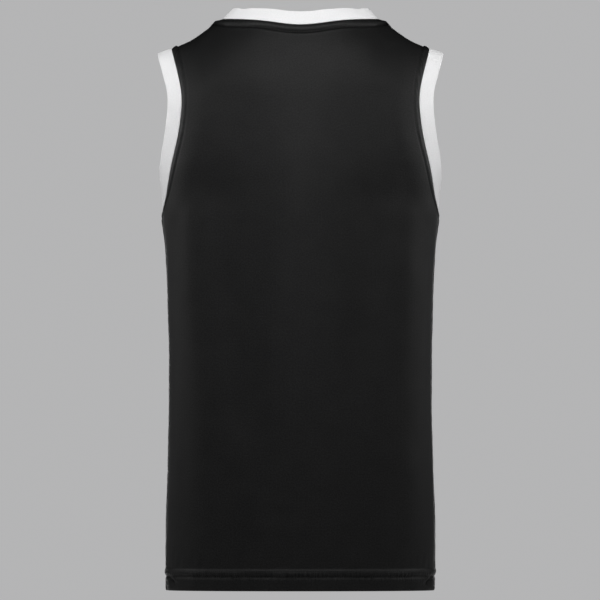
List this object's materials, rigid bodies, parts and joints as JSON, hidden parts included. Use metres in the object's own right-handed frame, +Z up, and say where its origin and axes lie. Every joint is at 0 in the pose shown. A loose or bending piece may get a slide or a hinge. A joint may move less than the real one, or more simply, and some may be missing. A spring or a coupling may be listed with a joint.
{
  "type": "basketball jersey",
  "caption": "Sleeveless basketball jersey, filled out and hollow, with a round neck, deep armholes, folded bands round both and a turned-up hem.",
  "frame": {"origin": "Middle of the line between the two high shoulder points, where the neck seam crosses the shoulder seams. The wearer's shoulders hold the jersey up there.", "axes": "+Z up, from the hem to the neck. +Y towards the back, -Y towards the front. +X towards the wearer's left."},
  "size_m": [0.381, 0.2715, 0.7738],
  "materials": {
    "body_knit": "fine smooth interlock knit, black, with a faint soft sheen",
    "band_knit": "the same smooth knit in white, folded double"
  },
  "bodies": {
    "root": {"back_panel": "body_knit", "front_panel": "body_knit", "neck_band": "band_knit", "armhole_band_left": "band_knit", "armhole_band_right": "band_knit"}
  },
  "joints": []
}
